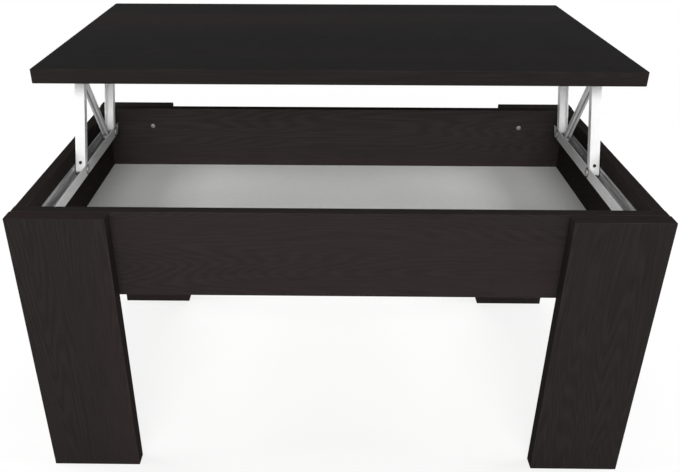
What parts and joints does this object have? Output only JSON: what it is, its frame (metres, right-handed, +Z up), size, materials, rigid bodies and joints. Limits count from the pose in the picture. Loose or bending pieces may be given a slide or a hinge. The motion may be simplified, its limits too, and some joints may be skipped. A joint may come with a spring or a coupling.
{
  "type": "lift-top coffee table",
  "caption": "Dark lift-top coffee table: the top rises and moves back on white parallel arms over a storage box on slab legs.",
  "frame": {"origin": "on the floor, under the middle of the storage box", "axes": "+X to the right along the length, +Y to the rear, +Z up; the top is raised at rest"},
  "size_m": [0.9, 0.7081, 0.5675],
  "materials": {
    "dark_wood": "matte",
    "pale_board": "matte",
    "white_steel": "satin",
    "zinc_steel": "satin",
    "beech": "matte"
  },
  "bodies": {
    "frame": {"front_left_leg": "dark_wood", "front_right_leg": "dark_wood", "rear_left_leg": "dark_wood", "rear_right_leg": "dark_wood", "front_apron": "dark_wood", "rear_apron": "dark_wood", "left_side_panel": "dark_wood", "right_side_panel": "dark_wood", "bottom_panel": "pale_board", "left_base_rail": "zinc_steel", "right_base_rail": "zinc_steel", "front_base_pins": "zinc_steel", "rear_base_pins": "zinc_steel", "left_stay_lug": "zinc_steel", "right_stay_lug": "zinc_steel", "stay_foot_pins": "zinc_steel", "base_rail_screws": "zinc_steel", "leg_screws": "zinc_steel", "leg_dowels": "beech", "corner_screws": "zinc_steel", "corner_dowels": "beech"},
    "front_arms": {"left_front_arm": "white_steel", "right_front_arm": "white_steel"},
    "rear_arms": {"left_rear_arm": "white_steel", "right_rear_arm": "white_steel"},
    "top": {"table_top": "dark_wood", "left_top_rail": "zinc_steel", "right_top_rail": "zinc_steel", "front_top_pins": "zinc_steel", "rear_top_pins": "zinc_steel", "top_rail_screws": "zinc_steel"},
    "lower_stays": {"left_stay_channel": "zinc_steel", "right_stay_channel": "zinc_steel"},
    "upper_stays": {"left_stay_bar": "zinc_steel", "right_stay_bar": "zinc_steel", "stay_guide_studs": "zinc_steel"}
  },
  "joints": [
    {"name": "lift", "type": "hinge", "parent": "frame", "child": "front_arms", "pos_m": [0, -0.004, 0.396], "axis": [1, 0, 0], "range_deg": [0, 105.5]},
    {"name": "rear_arm_swing", "type": "hinge", "parent": "frame", "child": "rear_arms", "pos_m": [0, 0.172, 0.396], "axis": [1, 0, 0], "range_deg": [0, 105.5]},
    {"name": "top_level", "type": "hinge", "parent": "front_arms", "child": "top", "pos_m": [0, 0.0581, 0.53547], "axis": [1, 0, 0], "range_deg": [-105.5, 0]},
    {"name": "stay_foot_swing", "type": "hinge", "parent": "frame", "child": "lower_stays", "pos_m": [0, 0.14867, 0.396], "axis": [1, 0, 0], "range_deg": [0, 52.75]},
    {"name": "stay_head_swing", "type": "hinge", "parent": "top", "child": "upper_stays", "pos_m": [0, 0.0581, 0.53547], "axis": [1, 0, 0], "range_deg": [0, 52.75]}
  ],
  "couplings": [
    {"joint": "rear_arm_swing", "follows": "lift", "ratio": 1},
    {"joint": "top_level", "follows": "lift", "ratio": -1},
    {"joint": "stay_foot_swing", "follows": "lift", "ratio": 0.5},
    {"joint": "stay_head_swing", "follows": "lift", "ratio": 0.5}
  ]
}
